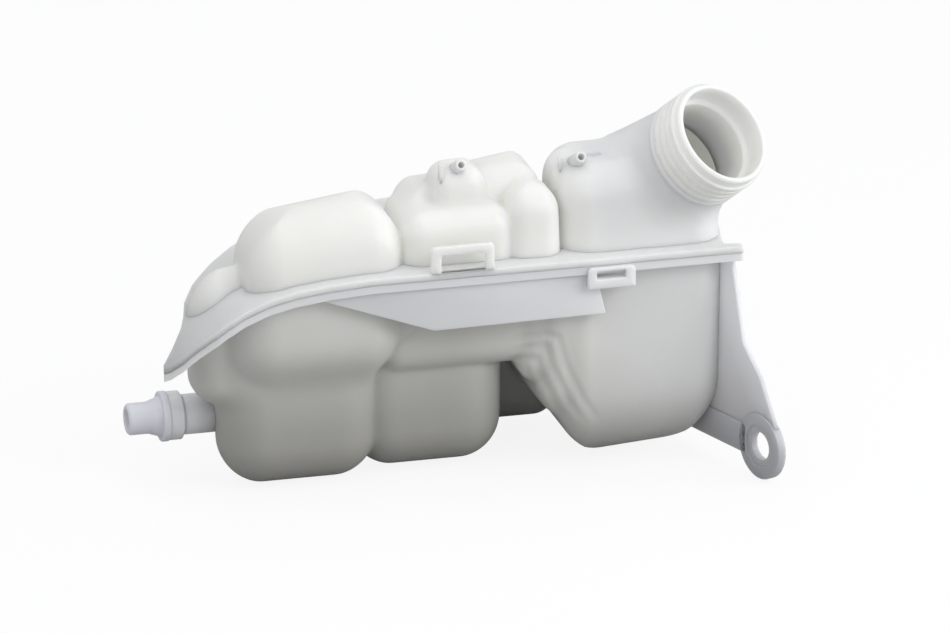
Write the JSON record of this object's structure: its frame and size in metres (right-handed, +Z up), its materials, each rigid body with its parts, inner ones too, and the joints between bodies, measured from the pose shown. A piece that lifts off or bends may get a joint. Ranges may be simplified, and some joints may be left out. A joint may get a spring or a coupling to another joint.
{
  "type": "coolant expansion tank",
  "caption": "Two-shell moulded coolant expansion tank with a slanted threaded filler neck, a bottom hose outlet and a mounting ear.",
  "frame": {"origin": "on the ground under the middle of the tank's outline, with the lower lobes standing at z = 0", "axes": "+X along the front edge of the weld flange towards the filler neck, +Y away from the front of the tank, +Z up, square to the weld flange"},
  "size_m": [0.3003, 0.1448, 0.1865],
  "materials": {
    "upper_plastic": "natural polypropylene, slightly translucent, satin",
    "lower_plastic": "natural polypropylene, slightly translucent, satin",
    "connector_plastic": "smooth hard plastic",
    "lock_ring_plastic": "smooth hard plastic",
    "seal_rubber": "matt"
  },
  "bodies": {
    "root": {"upper_shell": "upper_plastic", "lower_shell": "lower_plastic", "outlet_connector": "connector_plastic", "outlet_lock_ring": "lock_ring_plastic", "outlet_seal": "seal_rubber"}
  },
  "joints": []
}
